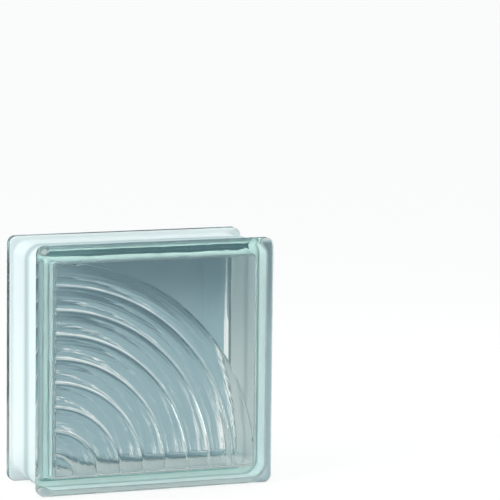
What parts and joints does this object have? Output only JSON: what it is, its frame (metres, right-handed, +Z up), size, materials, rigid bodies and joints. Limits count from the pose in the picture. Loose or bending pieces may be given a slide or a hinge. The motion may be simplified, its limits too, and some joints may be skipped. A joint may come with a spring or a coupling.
{
  "type": "glass block",
  "caption": "Square hollow glass block for walls: flat clear front face, satin rear face, quarter-circle ring relief inside and a mortar groove around the sides.",
  "frame": {"origin": "middle of the footprint, on the floor that the block's lower rims rest on", "axes": "+Z up, +X to the right seen from the clear face, -Y out of the clear face, +Y out of the satin face"},
  "size_m": [0.19, 0.08, 0.19],
  "materials": {
    "glass": "clear pressed glass with a faint green-blue tint; the rear face acid-etched to a satin finish, the mortar grooves with a pale coat"
  },
  "bodies": {
    "root": {"glass_block": "glass"}
  },
  "joints": []
}
